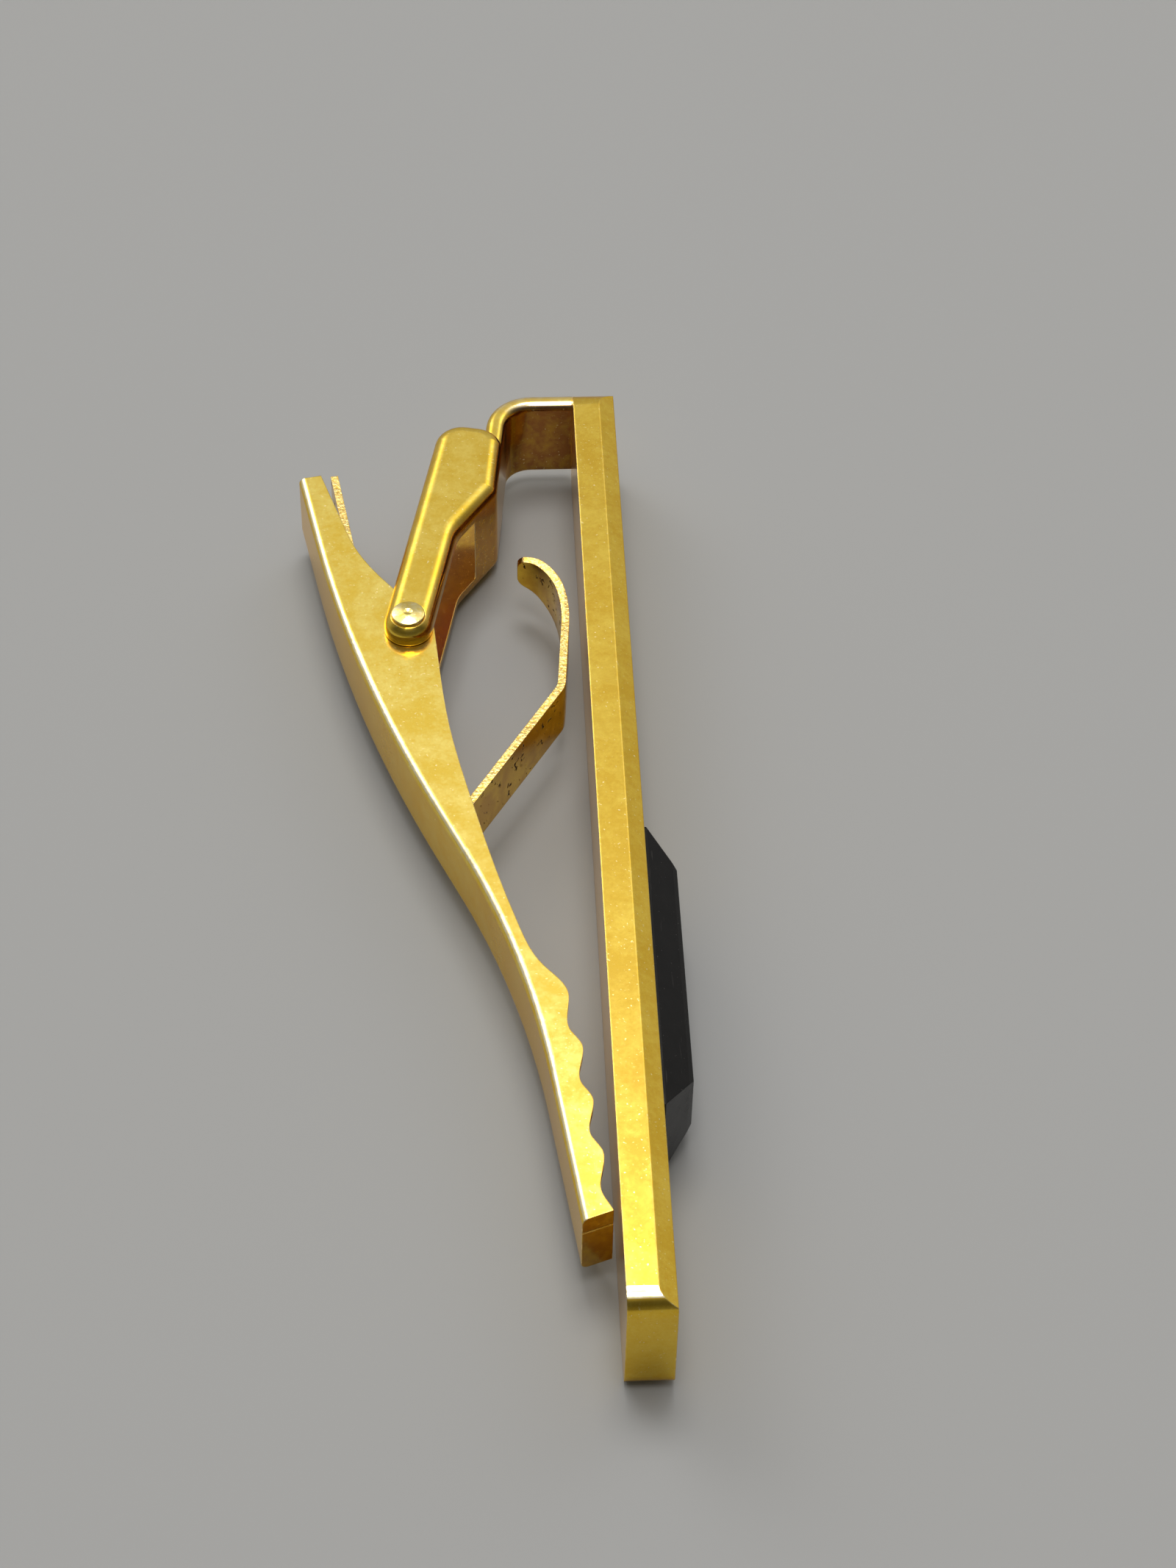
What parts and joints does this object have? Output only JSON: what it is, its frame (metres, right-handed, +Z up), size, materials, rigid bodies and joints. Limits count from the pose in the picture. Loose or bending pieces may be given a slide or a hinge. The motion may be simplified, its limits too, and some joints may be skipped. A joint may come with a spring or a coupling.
{
  "type": "tie clip",
  "caption": "Sprung tie clip: a bevelled gold-coloured bar with a black inlay stone on its front and a hinged toothed lever behind it that clamps cloth against the bar's flat back.",
  "frame": {"origin": "middle of the bar's lower long side, at mid-length and mid-thickness of the bar", "axes": "+Y along the bar towards the hinge end, +X out of the bar's decorated front, +Z up across the bar's width; the clip lies on its side"},
  "size_m": [0.0178, 0.0574, 0.0064],
  "materials": {
    "gold_plate": "polished gold-coloured plating with fine wear marks",
    "spring_plate": "gold-coloured plating with bright sheared edges",
    "black_stone": "opaque black, polished facets"
  },
  "bodies": {
    "frame": {"bar": "gold_plate", "stone": "black_stone", "hinge_bracket": "gold_plate", "pivot_rivet": "gold_plate"},
    "clip_lever": {"lever": "gold_plate", "leaf_spring": "spring_plate"}
  },
  "joints": [
    {"name": "lever_pivot", "type": "hinge", "parent": "frame", "child": "clip_lever", "pos_m": [-0.00975, 0.01197, 0.0032], "axis": [0, 0, -1], "range_deg": [0, 18], "stiffness_Nm_per_rad": 0.12, "springref_deg": -20.05}
  ]
}
